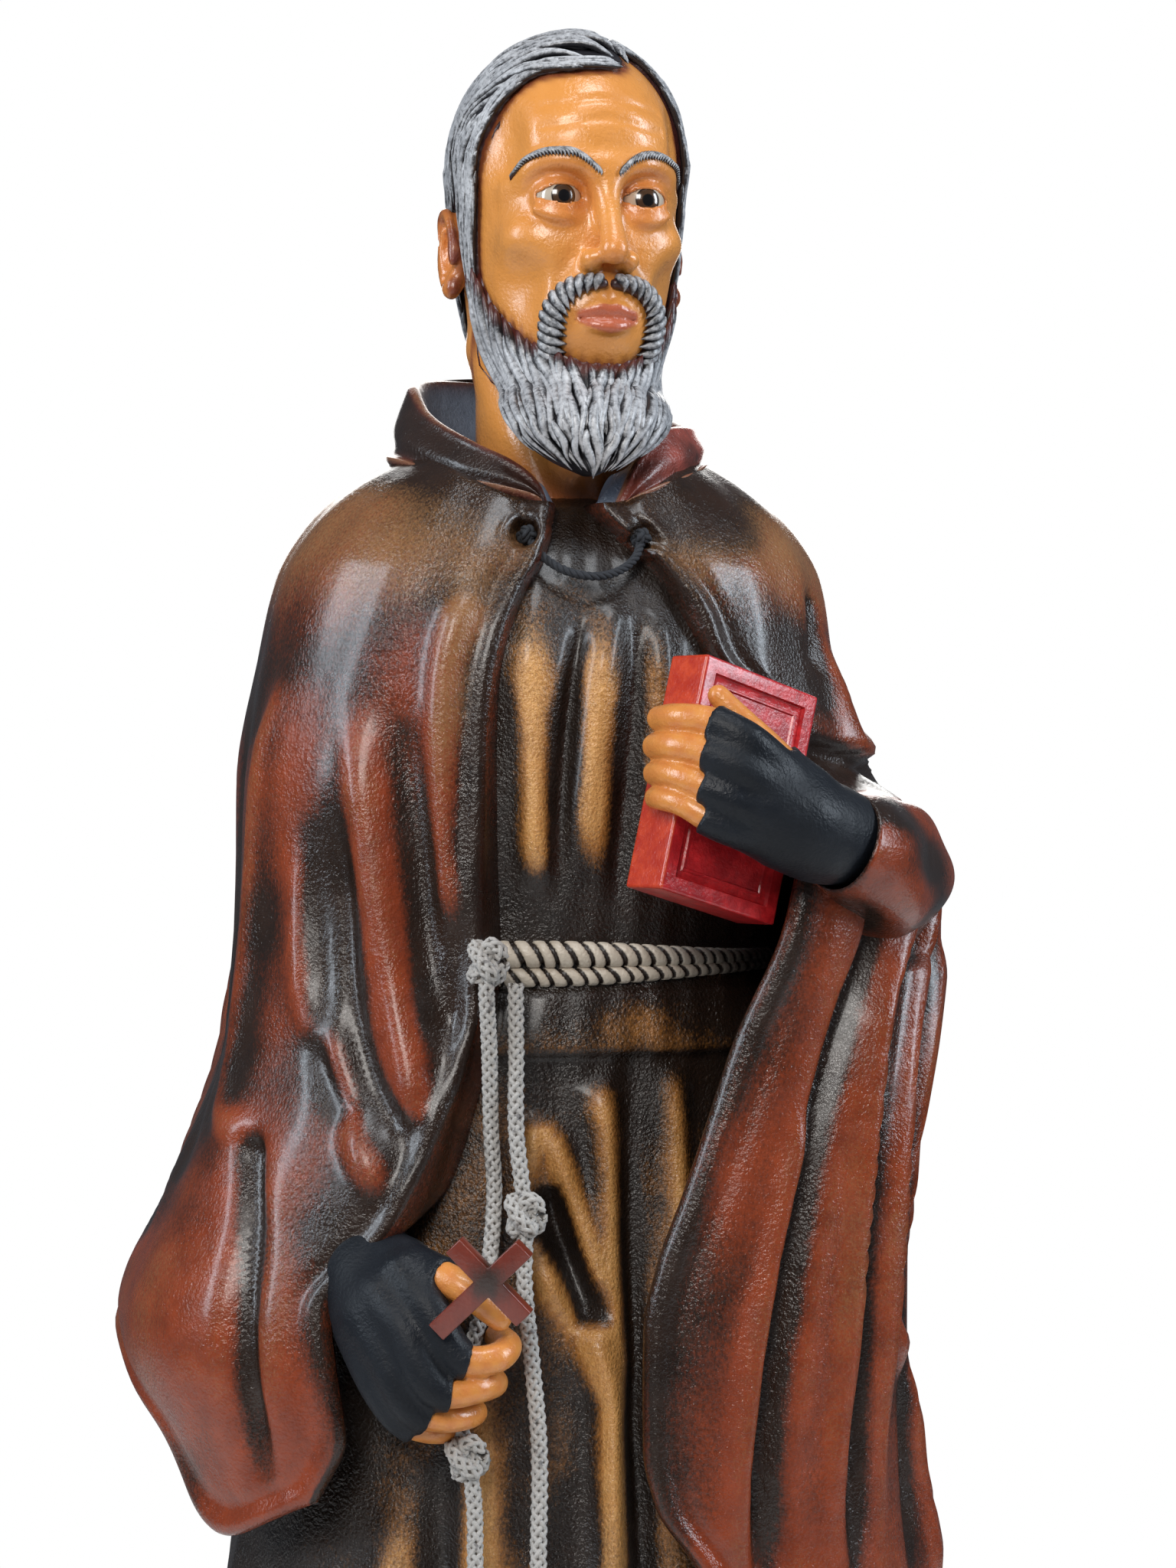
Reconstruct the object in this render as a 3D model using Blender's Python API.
"""A hand-painted fiberglass statue of a bearded friar in a hooded cape, holding a book and a small cross.

The statue faces -Y, +Z is up, and the origin is the middle of the base's underside. Metres throughout.
The casting (figure, book and low base) is one solid. The cross, the knotted waist cord and the clasp cord
are pieces of their own.
"""

import math

import bmesh
import bpy
import numpy as np
from mathutils import Vector

# Driving sizes
FIGURE_HEIGHT = 1.065  # top of the base to the crown of the head
BASE_WIDTH = 0.300
BASE_DEPTH = 0.270
BASE_HEIGHT = 0.035
BASE_CORNER = 0.030
BASE_EDGE = 0.004

BOOK_HEIGHT = 0.088
BOOK_WIDTH = 0.058
BOOK_THICKNESS = 0.020
BOOK_FRAME = 0.008
BOOK_PANEL_DEPTH = 0.0016

CROSS_LENGTH = 0.046
CROSS_SPAN = 0.036
CROSS_BAR = 0.0075
CROSS_THICKNESS = 0.0050
CROSS_LAP = 0.0003  # how far the arms' faces lie behind the stem's
CROSS_ARM_SHARE = 0.40  # where the arms cross the stem, from its top

WAIST_CORD = 0.0060  # diameter of the real braided cord
WAIST_KNOT = 2.5  # a knot's width in cord diameters
CLASP_CORD = 0.0036
CLASP_KNOT = 2.6
CLEARANCE = 0.0005  # between the casting and what it holds or carries

CAPE_THICKNESS = 0.006

# How finely the casting is faceted
CLAY_GRAIN = 0.0026
FACET_SHARE = 0.0138
FINER_HEAD = 0.7  # how much more of their facets the head and the hands keep than the cloth

# Profiles: radius of the tunic and of the cape, by height, to the figure's right, left, front and back
TUNIC = [
    (0.028, 0.146, 0.146, 0.124, 0.118),
    (0.035, 0.147, 0.147, 0.125, 0.119),
    (0.060, 0.148, 0.148, 0.127, 0.120),
    (0.200, 0.142, 0.142, 0.120, 0.114),
    (0.400, 0.137, 0.132, 0.113, 0.104),
    (0.480, 0.131, 0.127, 0.108, 0.100),
    (0.600, 0.112, 0.112, 0.096, 0.090),
    (0.690, 0.094, 0.096, 0.085, 0.078),
    (0.730, 0.088, 0.090, 0.082, 0.074),
    (0.790, 0.092, 0.094, 0.086, 0.076),
    (0.840, 0.096, 0.094, 0.086, 0.076),
    (0.870, 0.088, 0.086, 0.076, 0.070),
    (0.895, 0.064, 0.062, 0.060, 0.052),
    (0.915, 0.040, 0.040, 0.040, 0.038),
    (0.935, 0.033, 0.033, 0.033, 0.033),
]
CAPE = [
    (0.330, 0.150, 0.156, 0.132, 0.142),
    (0.480, 0.150, 0.153, 0.128, 0.132),
    (0.530, 0.156, 0.144, 0.124, 0.126),
    (0.590, 0.174, 0.138, 0.120, 0.120),
    (0.640, 0.156, 0.140, 0.114, 0.114),
    (0.700, 0.133, 0.154, 0.102, 0.108),
    (0.750, 0.128, 0.160, 0.094, 0.104),
    (0.800, 0.127, 0.134, 0.091, 0.100),
    (0.845, 0.119, 0.114, 0.089, 0.094),
    (0.880, 0.111, 0.108, 0.081, 0.084),
    (0.900, 0.099, 0.097, 0.070, 0.074),
    (0.915, 0.083, 0.080, 0.060, 0.064),
    (0.930, 0.056, 0.054, 0.047, 0.050),
]
DRAWN_BASE = TUNIC[1][0]  # the height at which the drawn figure stands on its base
SQUARENESS = 2.25  # 2 is an ellipse

# The cape's front edges: height, then degrees from the front towards the figure's left
RIGHT_EDGE = [
    (0.500, -60.0), (0.536, -53.3), (0.558, -49.2), (0.587, -50.4), (0.606, -51.3), (0.637, -42.5),
    (0.668, -37.1), (0.697, -33.1), (0.722, -31.2), (0.783, -31.4), (0.810, -31.4), (0.833, -30.7),
    (0.851, -29.0), (0.872, -25.0), (0.887, -20.2), (0.906, -18.3), (0.930, -18.0),
]
LEFT_EDGE = [
    (0.440, 16.0), (0.480, 12.0), (0.509, 8.3), (0.533, 1.7), (0.553, -0.1), (0.596, 0.2), (0.618, 2.3),
    (0.646, 7.0), (0.675, 11.7), (0.703, 15.8), (0.741, 21.7), (0.760, 23.5), (0.785, 26.6),
    (0.794, 27.5), (0.802, 34.0), (0.812, 42.0), (0.822, 40.5), (0.849, 25.8), (0.866, 22.1),
    (0.882, 16.3), (0.896, 6.3), (0.906, 1.2), (0.930, 0.0),
]
# How much further out the cape stands where it hangs over the left forearm, by height
DRAPE = [
    (0.400, 0.008), (0.480, 0.012), (0.600, 0.022), (0.700, 0.036),
    (0.760, 0.047), (0.787, 0.046), (0.804, 0.002), (0.830, 0.0),
]
DRAPE_MIDDLE = 28  # degrees
DRAPE_SPREAD = 28
# The cape's lower hem, by share of the way round from the right front edge to the left one
HEM = [
    (0.00, 0.536), (0.05, 0.518), (0.12, 0.556), (0.18, 0.588), (0.24, 0.560), (0.30, 0.480),
    (0.45, 0.415), (0.60, 0.395), (0.75, 0.400), (0.86, 0.420), (0.94, 0.462), (1.00, 0.505),
]

# Folds: points as (degrees from the front, height), half width, height above (or below) the cloth
CAPE_FOLDS = [
    ([(-66, 0.795), (-63, 0.735), (-50, 0.665)], 0.0070, -0.0050),
    ([(-68, 0.780), (-66, 0.739), (-56, 0.694), (-43, 0.642)], 0.0065, 0.0050),
    ([(-61, 0.794), (-56, 0.724), (-42, 0.662)], 0.0055, -0.0055),
    ([(-57, 0.830), (-53, 0.779), (-48, 0.735), (-38, 0.663)], 0.0075, 0.0055),
    ([(-49, 0.832), (-45, 0.779), (-42, 0.736), (-36, 0.698)], 0.0075, -0.0050),
    ([(-35, 0.873), (-39, 0.835), (-39, 0.794), (-36, 0.736)], 0.0070, 0.0045),
    ([(-75, 0.844), (-83, 0.775), (-84, 0.725), (-68, 0.660)], 0.0060, 0.0030),
    ([(-92, 0.840), (-97, 0.760), (-96, 0.700), (-88, 0.640)], 0.0100, -0.0040),
    ([(-71, 0.672), (-63, 0.611), (-60, 0.530)], 0.0060, -0.0075),
    ([(-112, 0.760), (-104, 0.680), (-96, 0.610)], 0.0100, -0.0030),
    ([(63, 0.875), (56, 0.841)], 0.0050, -0.0040),
    ([(66, 0.860), (64, 0.834), (76, 0.812)], 0.0080, 0.0060),
    ([(46, 0.812), (58, 0.808), (82, 0.800)], 0.0045, -0.0080),
    ([(30, 0.790), (37, 0.792), (49, 0.791), (70, 0.790), (84, 0.786)], 0.0060, 0.0040),
    ([(36, 0.787), (46, 0.776), (50, 0.765), (46, 0.745), (36, 0.694), (32, 0.600), (28, 0.503)],
     0.0055, 0.0080),
    ([(50, 0.790), (58, 0.780), (60, 0.765), (52, 0.720), (43, 0.645), (39, 0.499)], 0.0055, 0.0075),
    ([(52, 0.770), (54, 0.750), (42, 0.719), (37, 0.666), (34, 0.570), (33, 0.480)], 0.0045, -0.0090),
    ([(37, 0.778), (39, 0.760), (33, 0.720), (26, 0.665), (21, 0.613), (17, 0.530), (20, 0.460)],
     0.0055, -0.0100),
    ([(26, 0.680), (20, 0.632), (15, 0.567), (14, 0.500)], 0.0060, 0.0050),
    ([(72, 0.760), (60, 0.700), (53, 0.620), (50, 0.480)], 0.0055, -0.0085),
    ([(70, 0.744), (60, 0.670), (52, 0.604)], 0.0060, 0.0060),
    ([(46, 0.597), (55, 0.552), (62, 0.470)], 0.0070, 0.0060),
]
# Folds down the cape's back, evenly spread: first and last angle, count, top and bottom height
CAPE_BACK_FOLDS = {
    "first": 100, "last": 245, "count": 6, "top": 0.80, "bottom": 0.40, "width": 0.011, "rise": 0.008,
}
# The cape lies on the body above this height in front, and higher up by the left forearm
CAPE_OPEN_BELOW = 0.62
ARM_OPENING = 0.20
OPENING_EASE = 0.04

TUNIC_FOLDS = [
    ([(-20, 0.880), (-21, 0.834), (-20, 0.782), (-19, 0.755)], 0.0075, 0.0040),
    ([(3, 0.872), (-4, 0.834), (-7, 0.790), (-8, 0.760)], 0.0065, 0.0042),
    ([(-8, 0.863), (-13, 0.819), (-15, 0.776), (-14, 0.748)], 0.0045, -0.0040),
    ([(7, 0.863), (4, 0.820), (1, 0.776), (0, 0.750)], 0.0050, -0.0035),
    ([(13, 0.870), (11, 0.840), (9, 0.790)], 0.0060, 0.0030),
    ([(-19, 0.648), (-16, 0.633), (-12, 0.614), (-7, 0.592)], 0.0058, -0.0150),
    ([(-23, 0.640), (-21, 0.662), (-17, 0.664), (-12, 0.644), (-8, 0.618), (-5, 0.598)], 0.0045, 0.0050),
    ([(-22, 0.630), (-14, 0.608), (-6, 0.582), (-4, 0.560), (-6, 0.470), (-8, 0.200)], 0.0060, 0.0095),
    ([(-6, 0.690), (-3, 0.661), (-2, 0.610), (0, 0.560)], 0.0070, 0.0055),
    ([(2, 0.695), (2, 0.632), (3, 0.520), (3, 0.120)], 0.0060, -0.0085),
    ([(14, 0.695), (14, 0.655), (13, 0.600)], 0.0060, 0.0045),
    ([(-30, 0.600), (-29, 0.500), (-30, 0.120)], 0.0080, 0.0065),
    ([(-38, 0.560), (-38, 0.420), (-40, 0.100)], 0.0060, -0.0080),
    ([(-45, 0.540), (-46, 0.400), (-48, 0.080)], 0.0085, 0.0065),
    ([(14, 0.500), (16, 0.300), (20, 0.070)], 0.0110, 0.0080),
    ([(28, 0.480), (30, 0.300), (34, 0.070)], 0.0070, -0.0080),
]
# Folds round the rest of the skirt: first and last angle, count, top and bottom height
SKIRT_FOLDS = {
    "first": 44, "last": 302, "count": 11, "top": 0.52, "bottom": 0.05, "width": 0.0120, "rise": 0.0085,
}

SASH = {"top": 0.7200, "bottom": 0.6960, "rise": 0.0045, "edge": 0.0020}
# The carved double rope above the sash: the heights of its two strands in front, and their thickness
BELT = {"upper": 0.7330, "lower": 0.7245, "strand": 0.0048}
BELT_MEET = {"upper": -0.0010, "lower": 0.0055}  # how far each rises where they meet

# The collar's rim (height, radius) and lower lip (height, radius), by degrees from the front
COLLAR = [
    (-180, 0.9660, 0.0600, 0.9050, 0.0760), (-150, 0.9650, 0.0580, 0.9150, 0.0700),
    (-107, 0.9580, 0.0565, 0.9258, 0.0634), (-84, 0.9460, 0.0550, 0.9230, 0.0650),
    (-48, 0.9300, 0.0560, 0.9125, 0.0640), (-30, 0.9215, 0.0580, 0.9080, 0.0620),
    (-21, 0.9130, 0.0600, 0.9045, 0.0615), (-16, 0.9000, 0.0540, 0.8950, 0.0540),
    (-5, 0.8900, 0.0480, 0.8850, 0.0480), (3, 0.8950, 0.0520, 0.8900, 0.0520),
    (8, 0.9070, 0.0600, 0.9020, 0.0610), (18, 0.9240, 0.0580, 0.9080, 0.0620),
    (35, 0.9370, 0.0560, 0.9140, 0.0610), (73, 0.9420, 0.0550, 0.9230, 0.0590),
    (114, 0.9495, 0.0555, 0.9230, 0.0640), (150, 0.9600, 0.0580, 0.9150, 0.0700),
    (180, 0.9660, 0.0600, 0.9050, 0.0760),
]
NECK_RADIUS = 0.034
HOOD_DROP = 0.085  # how far the folded hood hangs down the back below the collar
HOOD_WIDTH = 52  # degrees either side of the back

# The head: height, then half width, front and back from its middle, up to its widest level
HEAD_MIDDLE = (0.004, -0.005)
HEAD = [
    (0.9475, 0.013, 0.037, 0.022), (0.9530, 0.020, 0.0460, 0.028), (0.9620, 0.0275, 0.0510, 0.034),
    (0.9750, 0.0335, 0.0530, 0.041), (0.9900, 0.0375, 0.0540, 0.047), (1.0050, 0.0400, 0.0545, 0.052),
    (1.0250, 0.0415, 0.0550, 0.0560), (1.0400, 0.0425, 0.0570, 0.0580), (1.0460, 0.0430, 0.0575, 0.0585),
]
# Above that level the skull is a dome
SKULL_LEVEL, SKULL_SIDE, SKULL_FRONT, SKULL_BACK = HEAD[-1]
SKULL_HEIGHT = 0.0480
HAIR_THICKNESS = 0.0060
DRAWN_CROWN = SKULL_LEVEL + SKULL_HEIGHT + HAIR_THICKNESS
SCALE = FIGURE_HEIGHT / (DRAWN_CROWN - DRAWN_BASE)
EYE_LINE = 1.0250
EYE_SPACING = 0.0170  # from the middle of the face
EYE_RADIUS = 0.0092
EAR = {"out": 0.0435, "back": 0.0035, "level": 1.0110, "half": 0.0162}
NOSE_RISE = [
    (0.988, 0.0), (0.9935, 0.003), (0.9965, 0.0100), (1.0005, 0.0140), (1.006, 0.0125),
    (1.015, 0.0090), (1.025, 0.0055), (1.034, 0.0030), (1.042, 0.0),
]
NOSE_WIDTH = [(0.988, 0.0065), (0.998, 0.0070), (1.006, 0.0058), (1.020, 0.0046), (1.042, 0.0060)]
# Swellings of the face: across, height, half width, half height, rise; mirrored left and right
FACE = [
    (EYE_SPACING, 1.0240, 0.0100, 0.0072, -0.0080),
    (0.0085, 1.0260, 0.0042, 0.0062, -0.0030),
    (0.0160, 1.0370, 0.0110, 0.0036, 0.0026),
    (0.0078, 0.9995, 0.0036, 0.0040, 0.0055),
    (0.0290, 1.0090, 0.0120, 0.0090, 0.0028),
    (0.0050, 0.9805, 0.0080, 0.0026, 0.0026),
    (0.0040, 0.9745, 0.0080, 0.0028, 0.0032),
    (0.0400, 1.0460, 0.0080, 0.0120, -0.0012),
]

HAIRLINE = 46  # degrees up from the level of the skull's widest line
HAIR_LOCKS = 15
SIDE_LOCKS = 5
SIDEBURN_LOCKS = 3
NAPE_LOCKS = 9
BEARD_LOCKS = 22
MOUSTACHE_LOCKS = 4
BEARD_TIP = (-0.003, -0.066, 0.921)

# Fingers as points from the knuckle to the tip, with their radii
LEFT_HAND = [
    ([(0.040, -0.156, 0.802), (0.0227, -0.1607, 0.8147), (0.0122, -0.1538, 0.8207),
      (0.004, -0.1455, 0.822), (0.0015, -0.133, 0.8218)], (0.0070, 0.0056, 0.0048)),
    ([(0.038, -0.157, 0.794), (0.0202, -0.162, 0.8048), (0.0087, -0.1537, 0.8103),
      (0.0019, -0.1459, 0.8118), (0.0, -0.133, 0.8117)], (0.0070, 0.0057, 0.0050)),
    ([(0.037, -0.156, 0.786), (0.0178, -0.1602, 0.7935), (0.0049, -0.1516, 0.8003),
      (0.001, -0.1456, 0.8018), (-0.0005, -0.134, 0.8019)], (0.0068, 0.0054, 0.0046)),
    ([(0.037, -0.153, 0.779), (0.0149, -0.1572, 0.7841), (0.003, -0.1499, 0.7916),
      (-0.0005, -0.1441, 0.7927), (-0.001, -0.136, 0.793)], (0.0064, 0.0050, 0.0042)),
    ([(0.048, -0.150, 0.797), (0.0332, -0.1510, 0.8110), (0.0215, -0.1475, 0.8235),
      (0.0185, -0.1465, 0.8275)], (0.0066, 0.0056, 0.0042)),
    ([(0.0685, -0.1400, 0.7785), (0.0560, -0.1460, 0.7815), (0.0440, -0.1500, 0.7860),
      (0.0370, -0.1515, 0.7890)], (0.0145, 0.0180, 0.0180, 0.0150)),
    ([(0.140, -0.018, 0.748), (0.110, -0.075, 0.758), (0.0780, -0.132, 0.775),
      (0.0685, -0.1400, 0.7785)], (0.0290, 0.0275, 0.0235, 0.0150)),
]
RIGHT_HAND = [
    ([(-0.0893, -0.1110, 0.6212), (-0.0834, -0.1220, 0.6106), (-0.0694, -0.1294, 0.591),
      (-0.0596, -0.1303, 0.5918), (-0.0534, -0.1238, 0.5945),
      (-0.0541, -0.1134, 0.5965)], (0.0072, 0.0062, 0.0056, 0.0050)),
    ([(-0.0961, -0.1100, 0.6136), (-0.0918, -0.1205, 0.6031), (-0.078, -0.1278, 0.5799),
      (-0.0656, -0.1274, 0.5807), (-0.0569, -0.1186, 0.5808),
      (-0.0568, -0.1084, 0.5807)], (0.0070, 0.0060, 0.0054, 0.0048)),
    ([(-0.0995, -0.1060, 0.6053), (-0.0971, -0.1147, 0.5945), (-0.0841, -0.1207, 0.5713),
      (-0.0728, -0.1205, 0.5692), (-0.0631, -0.1135, 0.5694),
      (-0.0632, -0.1033, 0.5690)], (0.0068, 0.0058, 0.0052, 0.0046)),
    ([(-0.1008, -0.1010, 0.5959), (-0.0998, -0.1076, 0.5857), (-0.0874, -0.1124, 0.5663),
      (-0.0781, -0.111, 0.5629), (-0.069, -0.1054, 0.5622),
      (-0.0699, -0.0964, 0.5620)], (0.0062, 0.0054, 0.0046, 0.0042)),
    ([(-0.0863, -0.1032, 0.6226), (-0.0785, -0.1152, 0.6204), (-0.0708, -0.1247, 0.6168),
      (-0.0583, -0.1300, 0.6060)], (0.0080, 0.0066, 0.0058, 0.0046)),
    ([(-0.0965, -0.0738, 0.6273), (-0.0955, -0.0884, 0.6150), (-0.0931, -0.0994, 0.6020),
      (-0.0890, -0.1034, 0.5892)], (0.0135, 0.0165, 0.0178, 0.0140)),
    ([(-0.0838, -0.0915, 0.6180), (-0.0800, -0.0972, 0.6050), (-0.0784, -0.0979, 0.5861),
      (-0.0794, -0.0952, 0.5726)], (0.0110, 0.0100, 0.0080, 0.0060)),
    ([(-0.108, 0.012, 0.705), (-0.1040, -0.030, 0.665),
      (-0.0965, -0.0738, 0.6273)], (0.0160, 0.0150, 0.0135)),
]

# The hands' middles and the reach round them of the fine facets
GRIPS = [((0.028, -0.152, 0.797), 0.046), ((-0.075, -0.118, 0.590), 0.042)]

# The book: its middle, the way its cover faces (degrees from the front) and how far it leans to its right
BOOK_MIDDLE = (0.0300, -0.1215, 0.7955)
BOOK_TURN = 23
BOOK_ROLL = 15
# The casting's web between the book's back and the chest
BOOK_WEB = ([(0.018, -0.070, 0.800), (0.030, -0.121, 0.797)], (0.020, 0.018))
BOOK_WEB_FLATNESS = 0.7

CROSS_MIDDLE = (-0.0666, -0.1475, 0.6223)
CROSS_ALONG = (0.62, -0.50, 0.74)  # the way the stem points, away from the hand
CROSS_ACROSS = (-0.635, 0.24, 0.735)

# The waist cord's two tails, from the belt down, with the places of their knots as shares of the way
HELD_TAIL = [
    (-0.0545, -0.1000, 0.7390), (-0.0560, -0.1040, 0.7270), (-0.0540, -0.1010, 0.7000),
    (-0.0520, -0.0960, 0.6700), (-0.0511, -0.0970, 0.6453), (-0.0535, -0.1020, 0.6290),
    (-0.0605, -0.1110, 0.6028), (-0.0668, -0.1130, 0.5829), (-0.0672, -0.1120, 0.5610),
    (-0.0652, -0.1137, 0.5500), (-0.0640, -0.1154, 0.5404), (-0.0645, -0.1200, 0.5150),
    (-0.0650, -0.1260, 0.4500), (-0.0655, -0.1300, 0.3800), (-0.0655, -0.1320, 0.3200),
    (-0.0655, -0.1325, 0.2700),
]
HELD_KNOTS = (0.015, 0.405, 0.70, 0.985)
FREE_TAIL = [
    (-0.0440, -0.1010, 0.7240), (-0.0438, -0.1010, 0.7000), (-0.0440, -0.1020, 0.6700),
    (-0.0420, -0.1065, 0.6389), (-0.0431, -0.1100, 0.6148), (-0.0419, -0.1157, 0.5870),
    (-0.0405, -0.1193, 0.5617), (-0.0422, -0.1251, 0.5147), (-0.0435, -0.1300, 0.4500),
    (-0.0440, -0.1340, 0.3800), (-0.0440, -0.1365, 0.3100), (-0.0440, -0.1380, 0.2300),
]
FREE_KNOTS = (0.172, 0.56, 0.985)
CLASP = [
    (-0.0300, -0.0650, 0.8935), (-0.0260, -0.0725, 0.8850), (-0.0190, -0.0790, 0.8790),
    (-0.0090, -0.0820, 0.8765), (0.0030, -0.0800, 0.8790), (0.0110, -0.0755, 0.8850),
    (0.0150, -0.0700, 0.8930),
]
CLASP_KNOTS = (0.02, 0.98)


def stand(point):
    """A drawn point, moved to where it stands on the base at the figure's real size."""
    x, y, z = point
    return Vector((x * SCALE, y * SCALE, BASE_HEIGHT + (z - DRAWN_BASE) * SCALE))


def along(stations, at):
    """A smooth line through (place, value) stations, with no overshoot, read at the places in at."""
    key, value = (np.array(column, float) for column in zip(*stations))
    at = np.clip(np.asarray(at, float), key[0], key[-1])
    step = np.diff(key)
    slope = np.diff(value) / step
    tangent = np.concatenate([slope[:1], np.zeros(len(key) - 2), slope[-1:]])
    for i in range(1, len(key) - 1):
        if slope[i - 1] * slope[i] > 0:
            before = 2 * step[i] + step[i - 1]
            after = step[i] + 2 * step[i - 1]
            tangent[i] = (before + after) / (before / slope[i - 1] + after / slope[i])
    i = np.clip(np.searchsorted(key, at, side="right") - 1, 0, len(key) - 2)
    t = (at - key[i]) / step[i]
    start = (2 * t**3 - 3 * t**2 + 1) * value[i] + (t**3 - 2 * t**2 + t) * step[i] * tangent[i]
    end = (3 * t**2 - 2 * t**3) * value[i + 1] + (t**3 - t**2) * step[i] * tangent[i + 1]
    return start + end


def ease(value, low, high):
    """0 below low, 1 above high, and a smooth rise between."""
    t = np.clip((np.asarray(value, float) - low) / (high - low), 0, 1)
    return t * t * (3 - 2 * t)


def smooth_path(points, count):
    """Evenly spread points on a smooth curve through the given ones."""
    points = np.array(points, float)
    lengths = np.linalg.norm(np.diff(points, axis=0), axis=1)
    places = np.concatenate([[0], np.cumsum(lengths)])
    at = np.linspace(0, places[-1], count)
    columns = []
    for column in points.T:
        slope = np.gradient(column, places)
        i = np.clip(np.searchsorted(places, at, side="right") - 1, 0, len(places) - 2)
        step = places[i + 1] - places[i]
        t = (at - places[i]) / step
        start = (2 * t**3 - 3 * t**2 + 1) * column[i] + (t**3 - 2 * t**2 + t) * step * slope[i]
        end = (3 * t**2 - 2 * t**3) * column[i + 1] + (t**3 - t**2) * step * slope[i + 1]
        columns.append(start + end)
    return np.array(columns).T


def profile_radius(table, angle, height):
    """The radius of a garment's plain form at an angle in radians and a height."""
    right, left, front, back = (along([(row[0], row[j]) for row in table], height) for j in (1, 2, 3, 4))
    across, ahead = np.sin(angle), np.cos(angle)
    side = np.where(across < 0, right, left)
    depth = np.where(ahead > 0, front, back)
    power = SQUARENESS
    return (np.abs(across / side) ** power + np.abs(ahead / depth) ** power) ** (-1 / power)


def fold(angle, height, radius, path, half_width, rise):
    """How far a rounded fold along path lifts the cloth at each angle and height."""
    line = smooth_path([(math.radians(a), h) for a, h in path], 12)
    turn = (angle - line[:, 0].mean() + math.pi) % (2 * math.pi) - math.pi + line[:, 0].mean()
    nearest = np.full(np.shape(radius), 9.0)
    place = np.zeros(np.shape(radius))
    for k in range(len(line) - 1):
        (a0, h0), (a1, h1) = line[k], line[k + 1]
        span = np.array([(a1 - a0) * 0.12, h1 - h0])
        across, down = (turn - a0) * radius, height - h0
        t = np.clip(((turn - a0) * 0.12 * span[0] + down * span[1]) / (span @ span), 0, 1)
        distance = np.hypot(across - t * (a1 - a0) * radius, down - t * (h1 - h0))
        closer = distance < nearest
        nearest = np.where(closer, distance, nearest)
        place = np.where(closer, (k + t) / (len(line) - 1), place)
    fade = ease(place, -0.02, 0.18) * ease(1 - place, -0.02, 0.18)
    return rise * fade * np.exp(-((nearest / half_width) ** 2))


def spread_folds(angle, height, radius, spec):
    """Even folds down the cloth, in ridges and hollows by turns, deeper towards the hem."""
    total = np.zeros_like(radius)
    for k, degrees in enumerate(np.linspace(spec["first"], spec["last"], 2 * spec["count"] - 1)):
        lean = 3 * math.sin(2.4 * k)
        path = [(degrees + lean, spec["top"] - 0.03 * (k % 3)), (degrees, spec["bottom"])]
        rise = spec["rise"] * (1 if k % 2 == 0 else -0.8)
        total += fold(angle, height, radius, path, spec["width"], rise)
    return total


def drape_rise(angle, height):
    """How far the left forearm pushes the cape out."""
    degrees = (np.degrees(angle) + 180) % 360 - 180
    return along(DRAPE, height) * np.exp(-(((degrees - DRAPE_MIDDLE) / DRAPE_SPREAD) ** 2))


def cape_radius(angle, height):
    radius = profile_radius(CAPE, angle, height) + drape_rise(angle, height)
    lift = sum(fold(angle, height, radius, *row) for row in CAPE_FOLDS)
    return radius + lift + spread_folds(angle, height, radius, CAPE_BACK_FOLDS)


def tunic_radius(angle, height):
    radius = profile_radius(TUNIC, angle, height)
    lift = sum(fold(angle, height, radius, *row) for row in TUNIC_FOLDS)
    top, bottom, edge = SASH["top"], SASH["bottom"], SASH["edge"]
    in_sash = ease(height, bottom - edge, bottom + edge) * (1 - ease(height, top - edge, top + edge))
    bowed = 1 - 0.5 * ((height - bottom) / (top - bottom)) ** 2
    return radius + lift + spread_folds(angle, height, radius, SKIRT_FOLDS) + SASH["rise"] * in_sash * bowed


def around(angle, radius, height):
    """Points at these angles, radii and heights, as an array that ends in x, y, z."""
    height = np.broadcast_to(height, radius.shape)
    return np.stack([radius * np.sin(angle), -radius * np.cos(angle), height], axis=-1)


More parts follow.
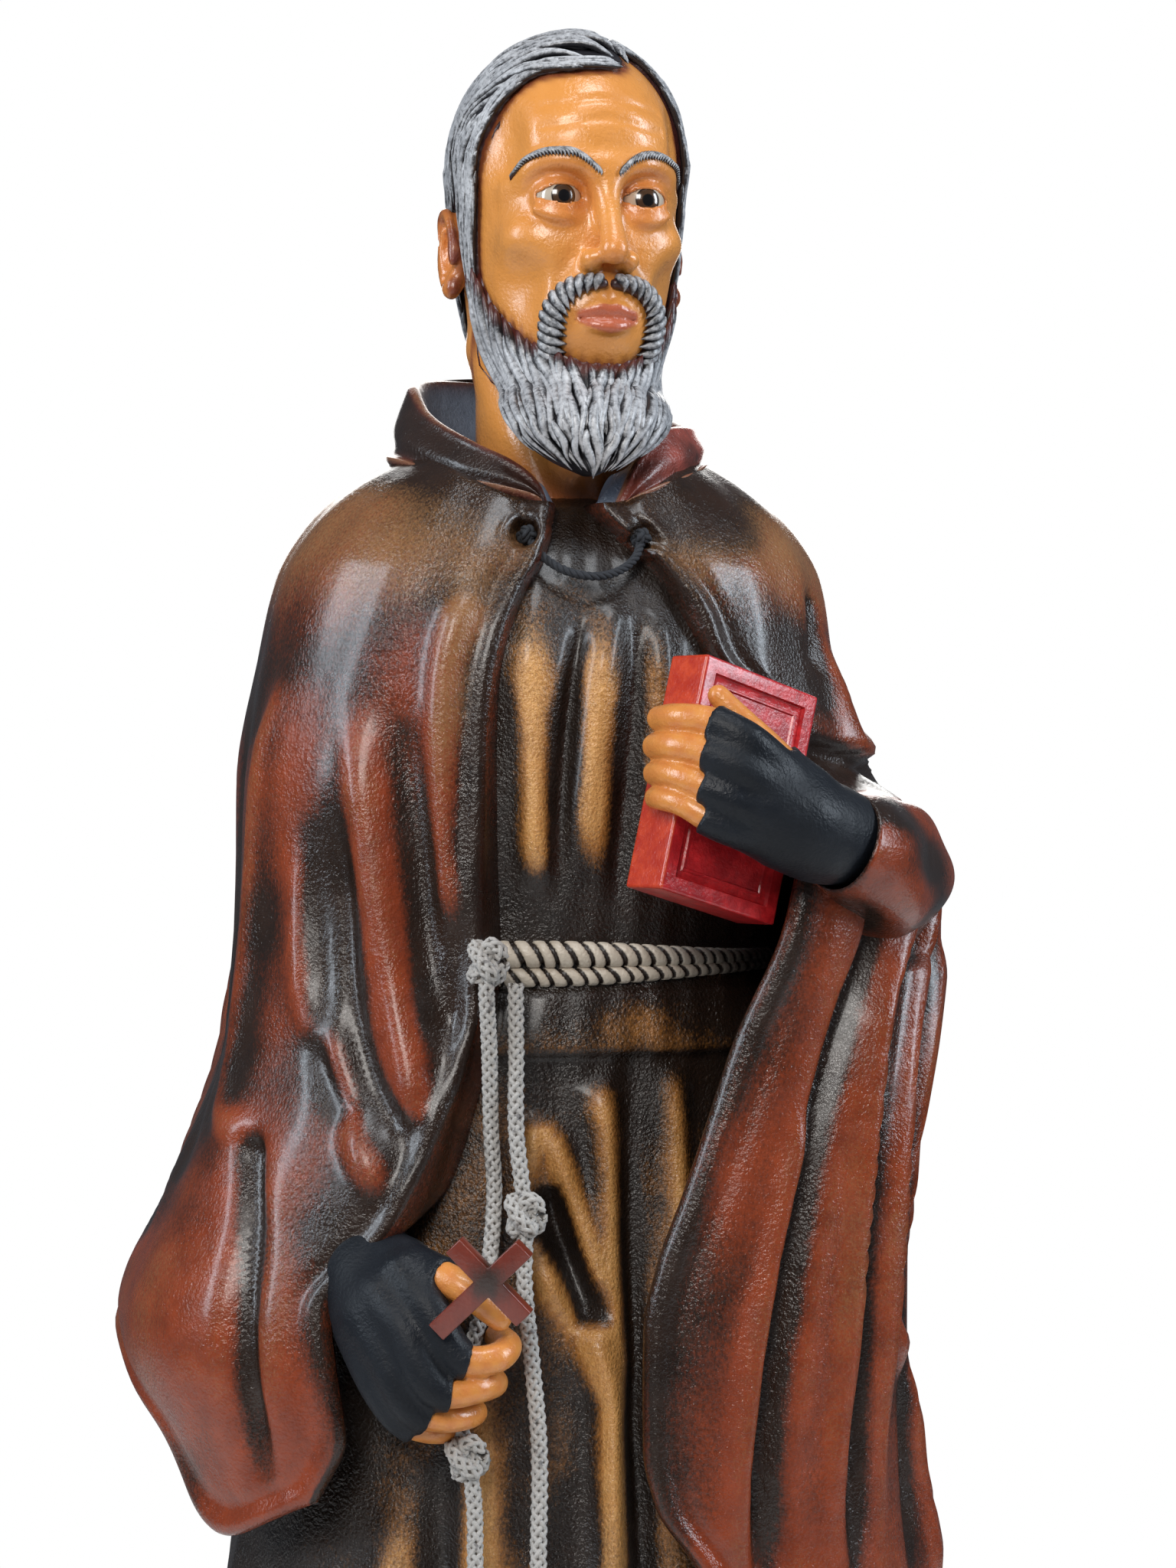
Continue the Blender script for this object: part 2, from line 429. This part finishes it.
class Clay:
    """Closed shapes gathered into one mesh, which is later remeshed into a single skin."""

    def __init__(self):
        self.mesh = bmesh.new()

    def grid(self, points, wrap=False):
        """Faces over a grid of points, rows by columns, and the grid of vertices."""
        rows, columns = points.shape[:2]
        verts = [[self.mesh.verts.new(stand(p)) for p in row] for row in points]
        for i in range(rows - 1):
            for j in range(columns if wrap else columns - 1):
                k = (j + 1) % columns
                self.mesh.faces.new((verts[i][j], verts[i][k], verts[i + 1][k], verts[i + 1][j]))
        return verts

    def loft(self, points):
        """A closed solid through rings of points, given from its lowest ring up, each running leftwards."""
        verts = self.grid(points, wrap=True)
        self.mesh.faces.new(verts[0][::-1])
        self.mesh.faces.new(verts[-1])

    def slab(self, outer, inner):
        """A closed solid between two grids of the same size."""
        front = self.grid(outer)
        back = self.grid(inner[:, ::-1])
        back = [row[::-1] for row in back]
        rim, inside = (
            rows[0] + [row[-1] for row in rows[1:]] + rows[-1][-2::-1] + [row[0] for row in rows[-2:0:-1]]
            for rows in (front, back)
        )
        for i in range(len(rim)):
            k = (i + 1) % len(rim)
            self.mesh.faces.new((rim[k], rim[i], inside[i], inside[k]))

    def wheel(self, points):
        """A closed solid through closed outlines set in a closed ring."""
        first = self.grid(points, wrap=True)
        for j in range(points.shape[1]):
            k = (j + 1) % points.shape[1]
            self.mesh.faces.new((first[-1][j], first[-1][k], first[0][k], first[0][j]))

    def ring(self, path, radius, sides=8):
        """A closed hoop of round section along a ring of points."""
        ahead = np.roll(path, -1, axis=0) - np.roll(path, 1, axis=0)
        ahead /= np.linalg.norm(ahead, axis=1)[:, None]
        out = path * (1, 1, 0)
        out /= np.linalg.norm(out, axis=1)[:, None]
        up = np.cross(ahead, out)
        turns = np.linspace(0, 2 * math.pi, sides, endpoint=False)
        cosine, sine = np.cos(turns)[None, :, None], np.sin(turns)[None, :, None]
        self.wheel(path[:, None] + radius * (cosine * out[:, None] + sine * up[:, None]))

    def tube(self, path, radii, sides=10, count=None, flat=1.0):
        """A round-ended tube along a smooth path, its radius running through radii."""
        path = np.array(path, float)
        count = count or 4 * len(path)
        line = smooth_path(path, count) if len(path) > 2 else np.linspace(path[0], path[-1], count)
        width = np.interp(np.linspace(0, 1, count), np.linspace(0, 1, len(radii)), radii)
        ahead = np.gradient(line, axis=0)
        ahead /= np.linalg.norm(ahead, axis=1)[:, None]
        rings = []
        for share in (0.0, 0.5, 0.87):
            back_by = width[0] * math.sqrt(1 - share**2)
            rings.append((line[0] - ahead[0] * back_by, max(share, 0.15) * width[0], ahead[0]))
        rings += [(p, w, a) for p, w, a in zip(line, width, ahead)]
        for share in (0.87, 0.5, 0.0):
            on_by = width[-1] * math.sqrt(1 - share**2)
            rings.append((line[-1] + ahead[-1] * on_by, max(share, 0.15) * width[-1], ahead[-1]))
        turn = np.linspace(0, 2 * math.pi, sides, endpoint=False)
        across = np.cross(np.array((1.0, 0.0, 0.0)), rings[0][2])
        points = []
        for centre, r, way in rings:
            across = across - way * (across @ way)
            across = across / np.linalg.norm(across)
            up = np.cross(way, across)
            points.append([centre + r * (math.cos(t) * flat * across + math.sin(t) * up) for t in turn])
        self.loft(np.array(points))

    def ball(self, centre, radii, segments=20, rings=12, lean=0.0):
        """An ellipsoid, leaned about X by degrees."""
        tilt = math.radians(lean)
        points = []
        for latitude in np.linspace(-0.46 * math.pi, 0.46 * math.pi, rings):
            ring = []
            for turn in np.linspace(0, 2 * math.pi, segments, endpoint=False):
                x = radii[0] * math.cos(latitude) * math.cos(turn)
                y = radii[1] * math.cos(latitude) * math.sin(turn)
                z = radii[2] * math.sin(latitude) / math.sin(0.46 * math.pi)
                y, z = y * math.cos(tilt) - z * math.sin(tilt), y * math.sin(tilt) + z * math.cos(tilt)
                ring.append((centre[0] + x, centre[1] + y, centre[2] + z))
            points.append(ring)
        self.loft(np.array(points))


def add_tunic(clay):
    waist = SASH["bottom"] - 0.016
    skirt = np.linspace(TUNIC[0][0], waist, 80)
    heights = np.concatenate([skirt, np.linspace(waist + 0.005, TUNIC[-1][0], 52)])
    angles = np.linspace(-math.pi, math.pi, 180, endpoint=False)
    angle, height = np.meshgrid(angles, heights)
    clay.loft(around(angle, tunic_radius(angle, height), height))


def cape_grid(rows, columns):
    """Angles and heights over the cape, from the right front edge round the back to the left one."""
    share = np.linspace(0, 1, columns)
    down = np.linspace(0, 1, rows)[:, None]
    top = 0.928 - 0.022 * np.exp(-((np.minimum(share, 1 - share) / 0.10) ** 2))
    height = top + (along(HEM, share) - top) * down
    right = np.radians(along(RIGHT_EDGE, height))
    left = np.radians(along(LEFT_EDGE, height)) - 2 * math.pi
    return right + (left - right) * share, height


def add_cape(clay):
    angle, height = cape_grid(110, 200)
    radius = cape_radius(angle, height)
    body = tunic_radius(angle, height)
    share = np.linspace(0, 1, angle.shape[1])
    low = CAPE_OPEN_BELOW + ARM_OPENING * ease(share, 0.70, 0.80)
    solid = ease(height, low, low + OPENING_EASE)
    hollow = np.maximum(radius - CAPE_THICKNESS, 0.85 * body)
    inner = np.minimum(solid * 0.85 * body + (1 - solid) * hollow, radius - CAPE_THICKNESS)
    clay.slab(around(angle, radius, height)[:, ::-1], around(angle, inner, height)[:, ::-1])


def add_belt(clay):
    """The carved double rope, its two strands meeting at the figure's left."""
    for strand, meet in BELT_MEET.items():
        angles = np.linspace(-math.pi, math.pi, 72, endpoint=False)
        height = BELT[strand] + meet * ease(np.degrees(angles), -10, 34)
        radius = tunic_radius(angles, height) + 0.35 * BELT["strand"]
        clay.ring(around(angles, radius, height), BELT["strand"])


def add_collar(clay):
    """The turned-down collar round the neck, its lining, and the hood folded down the back."""
    degrees = np.linspace(-180, 180, 96, endpoint=False)
    columns = ([(row[0], row[j]) for row in COLLAR] for j in (1, 2, 3, 4))
    rim_z, rim_r, lip_z, lip_r = (along(column, degrees) for column in columns)
    from_back = 180 - np.abs(degrees)
    hood = np.cos(np.clip(from_back / HOOD_WIDTH, 0, 1) * math.pi / 2) ** 1.2
    lip_z = lip_z - HOOD_DROP * hood
    lip_r = lip_r + 0.034 * hood
    throat = TUNIC[-1][0] - 0.020
    inside = throat - 0.035
    profile = [
        (lip_r - 0.006, lip_z - 0.004), (lip_r + 0.0015, lip_z), (lip_r + 0.0030, lip_z + 0.0035),
        (0.5 * (rim_r + lip_r) + 0.0040 + 0.006 * hood, 0.5 * (rim_z + lip_z)),
        (rim_r + 0.0030, rim_z - 0.0035), (rim_r + 0.0015, rim_z - 0.0005),
        (rim_r - 0.0015, rim_z), (rim_r - 0.0040, rim_z - 0.0035),
        (0.5 * (rim_r + NECK_RADIUS), 0.5 * (rim_z + throat)),
        (NECK_RADIUS + 0 * rim_r, np.minimum(throat, rim_z - 0.01)),
        (0.6 * NECK_RADIUS + 0 * rim_r, inside + 0 * rim_r),
    ]
    angles = np.radians(degrees)
    points = np.array([around(angles, np.asarray(r, float), np.asarray(z, float)) for r, z in profile])
    clay.wheel(np.swapaxes(points, 0, 1))


def head_radius(angle, height):
    """The bare head's radius round HEAD_MIDDLE."""
    side, front, back = (along([(row[0], row[j]) for row in HEAD], height) for j in (1, 2, 3))
    across, ahead = np.sin(angle), np.cos(angle)
    depth = np.where(ahead > 0, front, back)
    up = np.clip((height - SKULL_LEVEL) / SKULL_HEIGHT, 0, 0.999)
    power = SQUARENESS - (SQUARENESS - 2) * ease(up, 0, 0.5)
    radius = (np.abs(across / side) ** power + np.abs(ahead / depth) ** power) ** (-1 / power)
    radius = radius * np.sqrt(1 - up**2)
    x = np.abs(radius * across)
    lift = along(NOSE_RISE, height) * np.exp(-((x / along(NOSE_WIDTH, height)) ** 2.4))
    for place, level, wide, tall, rise in FACE:
        lift = lift + rise * np.exp(-(((x - place) / wide) ** 2) - ((height - level) / tall) ** 2)
    return radius + lift * ease(ahead, 0.05, 0.35)


def on_head(degrees, height, out=0.0):
    """A point on the head's surface, or out from it."""
    angle = np.radians(np.asarray(degrees, float))
    height = np.broadcast_to(np.asarray(height, float), angle.shape)
    point = around(angle, head_radius(angle, height) + out, height)
    return point + np.array([HEAD_MIDDLE[0], HEAD_MIDDLE[1], 0])


def add_head(clay):
    dome = SKULL_LEVEL + SKULL_HEIGHT * np.sin(np.linspace(0.05, 0.99, 20) * math.pi / 2)
    heights = np.concatenate([np.linspace(HEAD[0][0], SKULL_LEVEL, 64), dome])
    angles = np.linspace(-math.pi, math.pi, 120, endpoint=False)
    angle, height = np.meshgrid(angles, heights)
    clay.loft(around(angle, head_radius(angle, height), height) + np.array([*HEAD_MIDDLE, 0]))
    neck = [(0.001, 0.004, 0.880), (0.002, 0.002, 0.930), (0.004, 0.004, 0.985)]
    clay.tube(neck, (NECK_RADIUS + 0.002, NECK_RADIUS - 0.0015, NECK_RADIUS), sides=28)
    for side in (-1, 1):
        add_eye(clay, side)
        add_ear(clay, side)


def add_eye(clay, side):
    """A round eye between its two lids."""
    y, z = on_head(np.degrees(math.atan2(side * EYE_SPACING, SKULL_FRONT)), EYE_LINE)[1:]
    x = HEAD_MIDDLE[0] + side * EYE_SPACING
    clay.ball((x, y + 0.0068, z), (EYE_RADIUS, EYE_RADIUS, 0.93 * EYE_RADIUS))
    for lift, back in ((0.5 * EYE_RADIUS, 0.0), (-0.45 * EYE_RADIUS, 0.0008)):
        lid = []
        for s in np.linspace(-1, 1, 7):
            round_by = 0.0030 * s * s + back
            lid.append((x + side * s * EYE_RADIUS, y - 0.0022 + round_by, z + lift * (1 - s * s)))
        clay.tube(lid, (0.0011, 0.0018, 0.0011), sides=8)


def add_ear(clay, side):
    """An ear: a flat shell with a rolled rim."""
    x, y, z = (HEAD_MIDDLE[0] + side * EAR["out"], EAR["back"], EAR["level"])
    clay.ball((x, y, z), (0.0045, 0.6 * EAR["half"], EAR["half"]), lean=-12)
    rim = []
    for t in np.radians(np.linspace(10, 265, 9)):
        back = 0.003 * math.sin(t) - 0.0100 * math.cos(t)
        rim.append((x + side * 0.0025, y + back, z + EAR["half"] * math.sin(t)))
    clay.tube(rim, (0.0022, 0.0026, 0.0028), sides=8)


def lock(clay, path, width):
    """One lock of hair, tapering to its end."""
    clay.tube(path, (width * 0.7, width, width * 0.85, width * 0.3), sides=8)


def on_skull(across, degrees):
    """A point on the dome: across from -1 to 1, and degrees from the face up and over to the back."""
    ring = math.sqrt(1 - across**2)
    turn = math.radians(degrees)
    depth = ring * (SKULL_FRONT if degrees < 90 else SKULL_BACK)
    x = HEAD_MIDDLE[0] + SKULL_SIDE * across
    y = HEAD_MIDDLE[1] - depth * math.cos(turn)
    return (x, y, SKULL_LEVEL + SKULL_HEIGHT * ring * math.sin(turn))


def add_hair(clay):
    """Short hair combed straight back from a receding hairline, fuller over the ears and the nape."""
    for k, across in enumerate(np.linspace(-0.92, 0.92, HAIR_LOCKS)):
        start = HAIRLINE + 5 * math.sin(2.1 * k) - 20 * abs(across) ** 3
        wave = 0.02 * math.sin(1.9 * k)
        path = []
        for share in np.linspace(0, 1, 9):
            place = across * (1 - 0.06 * share) + wave * math.sin(5 * share)
            path.append(on_skull(place, start + share * (200 - start)))
        lock(clay, path, HAIR_THICKNESS)
    for side in (-1, 1):
        for k in range(SIDE_LOCKS):
            drops = (0, 0.003, 0.010 + 0.004 * k, 0.022 + 0.005 * k, 0.036 + 0.005 * k)
            turns = (62 + 4 * k, 84, 110, 140, 168)
            start = 1.060 - 0.0105 * k
            path = [on_head(side * turn, start - drop, 0.0008) for turn, drop in zip(turns, drops)]
            lock(clay, path, 0.0052)
        for k in range(SIDEBURN_LOCKS):
            sweep = ((70 + 7 * k, 1.040, 0.0005), (71 + 6 * k, 1.018, 0.0008), (70 + 6 * k, 0.996, 0.0015))
            lock(clay, [on_head(side * turn, level, out) for turn, level, out in sweep], 0.0042)
    for turn in np.linspace(-75, 75, NAPE_LOCKS):
        sweep = ((turn, 1.020, 0.0), (turn, 1.000, -0.001), (turn * 0.92, 0.975, 0.001))
        lock(clay, [on_head(180 + degrees, level, out) for degrees, level, out in sweep], 0.0070)


def add_beard(clay):
    """A full beard whose locks run down from the jaw to a soft point, and a drooping moustache."""
    tip = np.array(BEARD_TIP)
    chin = np.array([HEAD_MIDDLE[0], -0.040, 0.962])
    clay.tube([chin, 0.55 * chin + 0.45 * tip, tip + (0, 0.006, 0.010)], (0.0262, 0.0220, 0.0105), sides=20)
    for k, share in enumerate(np.linspace(-1, 1, BEARD_LOCKS)):
        degrees = 78 * share
        start = 0.9665 + 0.040 * abs(share) ** 2.2
        sweep = 0.0030 * math.sin(2.3 * k)
        swing = 0.0290 * math.sin(math.radians(degrees * 1.05)) + sweep
        forward = -0.028 - 0.038 * math.cos(math.radians(degrees)) ** 0.8
        middle = (HEAD_MIDDLE[0] + swing, forward, 0.5 * (start + tip[2]) + 0.004)
        spread = abs(share) ** 1.5
        end = tip + (0.0175 * share + sweep, 0.020 * spread, 0.016 * spread + 0.004 * (k % 3))
        lock(clay, [on_head(degrees, start), middle, end], 0.0046)
    for side in (-1, 1):
        for k in range(MOUSTACHE_LOCKS):
            root = on_head(side * 3, 0.9885 - 0.0016 * k, 0.0015)
            bend = on_head(side * (17 + 2 * k), 0.9850 - 0.0020 * k, 0.0030)
            end = on_head(side * (27 + 1.5 * k), 0.9620 + 0.0010 * k, 0.0030)
            lock(clay, [root, bend, end], 0.0027)


def add_hands(clay):
    for path, radii in LEFT_HAND + RIGHT_HAND:
        clay.tube(path, radii, sides=14, count=5 * len(path))


def add_feet(clay):
    """The sandalled feet, of which the hem leaves only the toes to be seen."""
    for side in (-1, 1):
        heel = (side * 0.045, -0.085, 0.030)
        ball = (side * 0.052, -0.122, 0.034)
        clay.tube([heel, ball, (side * 0.054, -0.136, 0.036)], (0.016, 0.015, 0.010), sides=14)
        for k in range(5):
            x = side * (0.0425 + 0.0058 * k)
            reach = 0.1430 - 0.0018 * abs(k - 0.6)
            end_radius = 0.0042 if k == 0 else 0.0030
            clay.tube([(x, -0.128, 0.040), (x + side * 0.001, -reach, 0.0385)], (0.0036, end_radius), sides=8)


def add_book_web(clay):
    path, radii = BOOK_WEB
    clay.tube(path, radii, sides=14, flat=BOOK_WEB_FLATNESS)


def build_figure():
    clay = Clay()
    add_tunic(clay)
    add_cape(clay)
    add_belt(clay)
    add_collar(clay)
    add_head(clay)
    add_hair(clay)
    add_beard(clay)
    add_hands(clay)
    add_feet(clay)
    add_book_web(clay)
    return clay


def clear_scene():
    for obj in list(bpy.data.objects):
        bpy.data.objects.remove(obj, do_unlink=True)


def add_object(name, mesh):
    obj = bpy.data.objects.new(name, mesh)
    bpy.context.scene.collection.objects.link(obj)
    return obj


def apply_modifiers(obj):
    """Swap the object's mesh for the one its modifiers make."""
    depsgraph = bpy.context.evaluated_depsgraph_get()
    mesh = bpy.data.meshes.new_from_object(obj.evaluated_get(depsgraph))
    obj.modifiers.clear()
    obj.data = mesh


def keep_outer_skin(mesh):
    """Fill closed hollows: keep only the shell with the largest extent."""
    clay = bmesh.new()
    clay.from_mesh(mesh)
    left = set(clay.verts)
    shells = []
    while left:
        seed = left.pop()
        shell, stack = [seed], [seed]
        while stack:
            for edge in stack.pop().link_edges:
                for vert in edge.verts:
                    if vert in left:
                        left.remove(vert)
                        shell.append(vert)
                        stack.append(vert)
        shells.append(shell)
    shells.sort(key=len)
    for shell in shells[:-1]:
        bmesh.ops.delete(clay, geom=shell, context="VERTS")
    clay.to_mesh(mesh)
    clay.free()


def detail_weight(point):
    """How much finer than the cloth the head and the hands are faceted, 0 to 1."""
    x, y, z = point
    z = DRAWN_BASE + (z - BASE_HEIGHT) / SCALE
    x, y = x / SCALE, y / SCALE
    finest = ease(z, TUNIC[-1][0] - 0.020, TUNIC[-1][0]) * ease(-y, -0.09, 0.0)
    for grip, reach in GRIPS:
        finest = max(finest, 1 - ease(math.dist((x, y, z), grip), reach - 0.010, reach))
    return float(finest)


def cast(clay):
    """One skin over all the clay's shapes, faceted more finely at the head and the hands."""
    bmesh.ops.recalc_face_normals(clay.mesh, faces=clay.mesh.faces)
    mesh = bpy.data.meshes.new("figure")
    clay.mesh.to_mesh(mesh)
    clay.mesh.free()
    figure = add_object("figure", mesh)
    remesh = figure.modifiers.new("one skin", "REMESH")
    remesh.mode = "VOXEL"
    remesh.voxel_size = CLAY_GRAIN
    apply_modifiers(figure)
    keep_outer_skin(figure.data)
    group = figure.vertex_groups.new(name="plain cloth")
    for vert in figure.data.vertices:
        group.add([vert.index], 1 - FINER_HEAD * detail_weight(vert.co), "REPLACE")
    facets = figure.modifiers.new("facets", "DECIMATE")
    facets.ratio = FACET_SHARE
    facets.vertex_group = group.name
    facets.vertex_group_factor = 1.0
    apply_modifiers(figure)
    figure.vertex_groups.clear()
    return figure


def box(name, size, middle, axes=None, chamfer=0.0):
    """A box of size along three axes, its edges chamfered."""
    clay = bmesh.new()
    bmesh.ops.create_cube(clay, size=1)
    if chamfer:
        bmesh.ops.scale(clay, vec=size, verts=clay.verts)
        bmesh.ops.bevel(clay, geom=clay.edges, offset=chamfer, segments=1, affect="EDGES")
        size = (1, 1, 1)
    axes = axes or (Vector((1, 0, 0)), Vector((0, 1, 0)), Vector((0, 0, 1)))
    for vert in clay.verts:
        vert.co = Vector(middle) + sum((axes[i] * vert.co[i] * size[i] for i in range(3)), Vector())
    mesh = bpy.data.meshes.new(name)
    clay.to_mesh(mesh)
    clay.free()
    return add_object(name, mesh)


def join_solid(target, other, how):
    """Add other to target, or cut it away, and remove other."""
    cut = target.modifiers.new(how.lower(), "BOOLEAN")
    cut.operation = how
    cut.solver = "EXACT"
    cut.object = other
    apply_modifiers(target)
    bpy.data.objects.remove(other, do_unlink=True)


def book_axes():
    turn, roll = math.radians(BOOK_TURN), math.radians(BOOK_ROLL)
    out = Vector((math.sin(turn), -math.cos(turn), 0))
    right = Vector((math.cos(turn), math.sin(turn), 0))
    up = Vector((0, 0, 1))
    return right * math.cos(roll) - up * math.sin(roll), -out, up * math.cos(roll) + right * math.sin(roll)


def make_book():
    axes = book_axes()
    book = box("book", (BOOK_WIDTH, BOOK_THICKNESS, BOOK_HEIGHT), stand(BOOK_MIDDLE), axes, chamfer=0.0012)
    panel = (BOOK_WIDTH - 2 * BOOK_FRAME, 2 * BOOK_PANEL_DEPTH, BOOK_HEIGHT - 2 * BOOK_FRAME)
    front = stand(BOOK_MIDDLE) - axes[1] * BOOK_THICKNESS / 2
    join_solid(book, box("panel", panel, front, axes), "DIFFERENCE")
    return book


def make_base():
    clay = bmesh.new()
    bmesh.ops.create_cube(clay, size=1)
    bmesh.ops.scale(clay, vec=(BASE_WIDTH, BASE_DEPTH, BASE_HEIGHT), verts=clay.verts)
    bmesh.ops.translate(clay, vec=(0, 0, BASE_HEIGHT / 2), verts=clay.verts)
    corners = [e for e in clay.edges if abs((e.verts[0].co - e.verts[1].co).z) > 0.5 * BASE_HEIGHT]
    bmesh.ops.bevel(clay, geom=corners, offset=BASE_CORNER, segments=5, affect="EDGES")
    top = [e for e in clay.edges if all(v.co.z > 0.9 * BASE_HEIGHT for v in e.verts)]
    bmesh.ops.bevel(clay, geom=top, offset=BASE_EDGE, segments=2, affect="EDGES")
    mesh = bpy.data.meshes.new("base")
    clay.to_mesh(mesh)
    clay.free()
    return add_object("base", mesh)


def make_cross(name, clearance):
    along_stem = Vector(CROSS_ALONG).normalized()
    across = Vector(CROSS_ACROSS)
    across = (across - along_stem * across.dot(along_stem)).normalized()
    through = along_stem.cross(across)
    middle = stand(CROSS_MIDDLE)
    grow = 2 * clearance
    axes = (along_stem, across, through)
    stem_middle = middle + along_stem * (CROSS_ARM_SHARE - 0.5) * CROSS_LENGTH
    stem = box(name, (CROSS_LENGTH + grow, CROSS_BAR + grow, CROSS_THICKNESS + grow), stem_middle, axes)
    arm_thickness = CROSS_THICKNESS - 2 * CROSS_LAP
    arms = box("arms", (CROSS_BAR + grow, CROSS_SPAN + grow, arm_thickness + grow), middle, axes)
    join_solid(stem, arms, "UNION")
    return stem


def make_cord(name, path, knots, diameter, knot_width, clearance):
    """A cord as a filled tube along a smooth path, swollen at its knots."""
    points = [stand(p) for p in path]
    length = sum((b - a).length for a, b in zip(points, points[1:]))
    places = set(np.linspace(0, 1, int(length / (2.6 * diameter)) + 2))
    for knot in knots:
        near = {at for at in places if abs(at - knot) * length < 2.4 * diameter and 0 < at < 1}
        lump = {knot + step * diameter / length for step in (-1.7, -1.15, -0.4, 0.4, 1.15, 1.7)}
        places = places - near | lump
    places = sorted(at for at in places if 0 <= at <= 1)
    fine = smooth_path([tuple(p) for p in points], 600)
    curve = bpy.data.curves.new(name, "CURVE")
    curve.dimensions = "3D"
    curve.bevel_depth = diameter / 2
    curve.bevel_resolution = 2
    curve.use_fill_caps = True
    spline = curve.splines.new("POLY")
    spline.points.add(len(places) - 1)
    for k, at in enumerate(places):
        point = [np.interp(at, np.linspace(0, 1, 600), column) for column in fine.T]
        spline.points[k].co = (*point, 1)
        away = min(abs(at - knot) * length for knot in knots)
        swell = (knot_width - 1) * float(ease(-away, -1.5 * diameter, -0.8 * diameter))
        spline.points[k].radius = 1 + swell + 2 * clearance / diameter
    return add_object(name, curve)


def mesh_of(obj):
    """The curve's solid as a mesh object of its own."""
    depsgraph = bpy.context.evaluated_depsgraph_get()
    solid = add_object(obj.name, bpy.data.meshes.new_from_object(obj.evaluated_get(depsgraph)))
    bpy.data.objects.remove(obj, do_unlink=True)
    return solid


def paint(obj, name, colour, roughness):
    material = bpy.data.materials.new(name)
    material.use_nodes = True
    shader = material.node_tree.nodes["Principled BSDF"]
    shader.inputs["Base Color"].default_value = (*colour, 1)
    shader.inputs["Roughness"].default_value = roughness
    obj.data.materials.clear()
    obj.data.materials.append(material)


CORDS = [
    ("cincture_cord_held", HELD_TAIL, HELD_KNOTS, WAIST_CORD, WAIST_KNOT),
    ("cincture_cord_free", FREE_TAIL, FREE_KNOTS, WAIST_CORD, WAIST_KNOT),
    ("clasp_cord", CLASP, CLASP_KNOTS, CLASP_CORD, CLASP_KNOT),
]


def main():
    clear_scene()
    figure = cast(build_figure())
    join_solid(figure, make_base(), "UNION")
    join_solid(figure, make_book(), "UNION")
    for name, *shape in CORDS:
        join_solid(figure, mesh_of(make_cord("room for " + name, *shape, CLEARANCE)), "DIFFERENCE")
    join_solid(figure, make_cross("room for cross", CLEARANCE), "DIFFERENCE")
    keep_outer_skin(figure.data)
    paint(figure, "painted fiberglass", (0.16, 0.06, 0.035), 0.35)
    paint(make_cross("hand_cross", 0.0), "red-brown wood", (0.25, 0.05, 0.03), 0.45)
    for name, *shape in CORDS:
        cord = make_cord(name, *shape, 0.0)
        if name == "clasp_cord":
            paint(cord, "black yarn", (0.02, 0.02, 0.02), 0.9)
        else:
            paint(cord, "undyed cord", (0.62, 0.60, 0.56), 0.9)


main()
